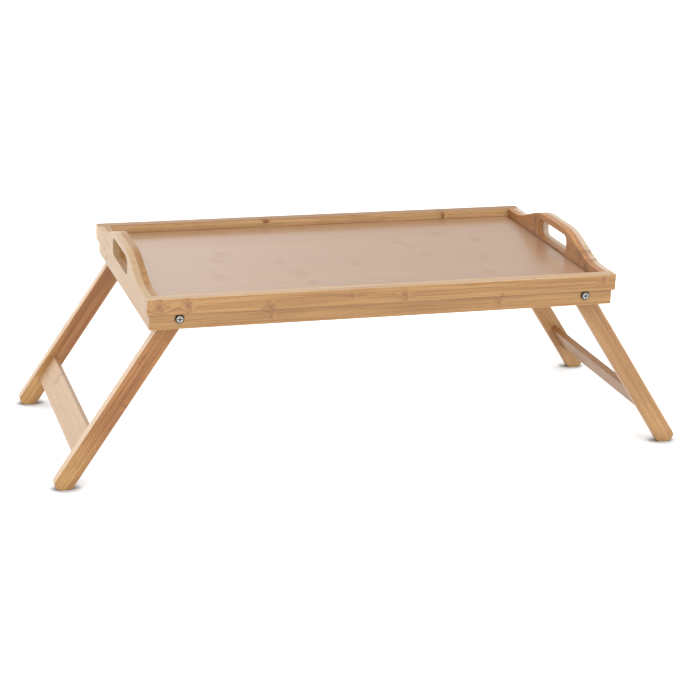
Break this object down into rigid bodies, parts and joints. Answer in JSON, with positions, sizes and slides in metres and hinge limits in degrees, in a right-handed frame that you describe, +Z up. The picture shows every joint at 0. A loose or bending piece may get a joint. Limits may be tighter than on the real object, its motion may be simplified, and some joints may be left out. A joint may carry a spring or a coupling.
{
  "type": "folding tray table",
  "caption": "Bamboo bed tray with a raised rim and handles at both ends, standing on splayed leg frames that fold flat under it.",
  "frame": {"origin": "on the floor, centred under the tray", "axes": "+X along the tray's length towards its right end, +Y towards its back rail, +Z up"},
  "size_m": [0.682, 0.2904, 0.2205],
  "materials": {
    "rail_bamboo": "clear lacquered bamboo, golden tan, fine grain along the board with darker nodes",
    "handle_bamboo": "clear lacquered laminated bamboo, warm tan with paler edges",
    "tray_bamboo": "semi-gloss lacquered bamboo strips, pale pinkish beige",
    "leg_bamboo": "clear lacquered bamboo, warm tan to reddish brown",
    "crossbar_bamboo": "clear lacquered bamboo, pale tan",
    "dowel_wood": "plain turned wood, hidden in the joints",
    "pivot_steel": "bright nickel plated steel"
  },
  "bodies": {
    "tray": {"front_rail": "rail_bamboo", "back_rail": "rail_bamboo", "left_handle_panel": "handle_bamboo", "right_handle_panel": "handle_bamboo", "tray_panel": "tray_bamboo", "left_front_pivot_screw": "pivot_steel", "left_front_outer_washer": "pivot_steel", "left_front_inner_washer": "pivot_steel", "left_front_pivot_nut": "pivot_steel", "left_back_pivot_screw": "pivot_steel", "left_back_outer_washer": "pivot_steel", "left_back_inner_washer": "pivot_steel", "left_back_pivot_nut": "pivot_steel", "right_front_pivot_screw": "pivot_steel", "right_front_outer_washer": "pivot_steel", "right_front_inner_washer": "pivot_steel", "right_front_pivot_nut": "pivot_steel", "right_back_pivot_screw": "pivot_steel", "right_back_outer_washer": "pivot_steel", "right_back_inner_washer": "pivot_steel", "right_back_pivot_nut": "pivot_steel", "left_front_corner_dowel_1": "dowel_wood", "left_front_corner_dowel_2": "dowel_wood", "left_back_corner_dowel_1": "dowel_wood", "left_back_corner_dowel_2": "dowel_wood", "right_front_corner_dowel_1": "dowel_wood", "right_front_corner_dowel_2": "dowel_wood", "right_back_corner_dowel_1": "dowel_wood", "right_back_corner_dowel_2": "dowel_wood"},
    "left_leg_frame": {"left_front_leg": "leg_bamboo", "left_back_leg": "leg_bamboo", "left_crossbar": "crossbar_bamboo", "left_front_bar_dowel_1": "dowel_wood", "left_front_bar_dowel_2": "dowel_wood", "left_back_bar_dowel_1": "dowel_wood", "left_back_bar_dowel_2": "dowel_wood"},
    "right_leg_frame": {"right_front_leg": "leg_bamboo", "right_back_leg": "leg_bamboo", "right_crossbar": "crossbar_bamboo", "right_front_bar_dowel_1": "dowel_wood", "right_front_bar_dowel_2": "dowel_wood", "right_back_bar_dowel_1": "dowel_wood", "right_back_bar_dowel_2": "dowel_wood"}
  },
  "joints": [
    {"name": "left_leg_fold", "type": "hinge", "parent": "tray", "child": "left_leg_frame", "pos_m": [-0.217, 0, 0.178], "axis": [0, -1, 0], "range_deg": [0, 123.6]},
    {"name": "right_leg_fold", "type": "hinge", "parent": "tray", "child": "right_leg_frame", "pos_m": [0.217, 0, 0.178], "axis": [0, 1, 0], "range_deg": [0, 123.6]}
  ]
}
